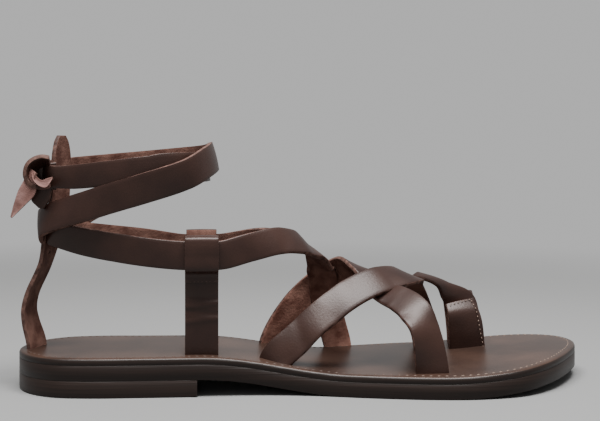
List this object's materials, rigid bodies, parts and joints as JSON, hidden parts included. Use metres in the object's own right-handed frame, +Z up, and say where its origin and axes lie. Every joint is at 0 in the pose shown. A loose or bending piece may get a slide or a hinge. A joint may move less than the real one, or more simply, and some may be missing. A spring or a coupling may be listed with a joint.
{
  "type": "strappy sandal",
  "caption": "Flat leather sandal, right foot: crossed instep straps, toe loop, side keepers, slit heel strap and a tie strap wound round the ankle.",
  "frame": {"origin": "on the floor under the middle of the heel", "axes": "+X towards the toe, +Y towards the medial side, +Z up"},
  "size_m": [0.2656, 0.0917, 0.113],
  "materials": {
    "sole_leather": "burnished dark edge",
    "insole_leather": "glossy smooth grain",
    "strap_leather": "waxed smooth grain",
    "tie_leather": "waxed smooth grain, rust flesh side"
  },
  "bodies": {
    "root": {"outsole": "sole_leather", "heel_lift": "sole_leather", "insole": "insole_leather", "forefoot_straps": "strap_leather", "toe_loop": "strap_leather", "keeper_lateral": "strap_leather", "keeper_medial": "strap_leather", "heel_strap": "strap_leather", "ankle_tie": "tie_leather", "tie_knot": "tie_leather"}
  },
  "joints": []
}
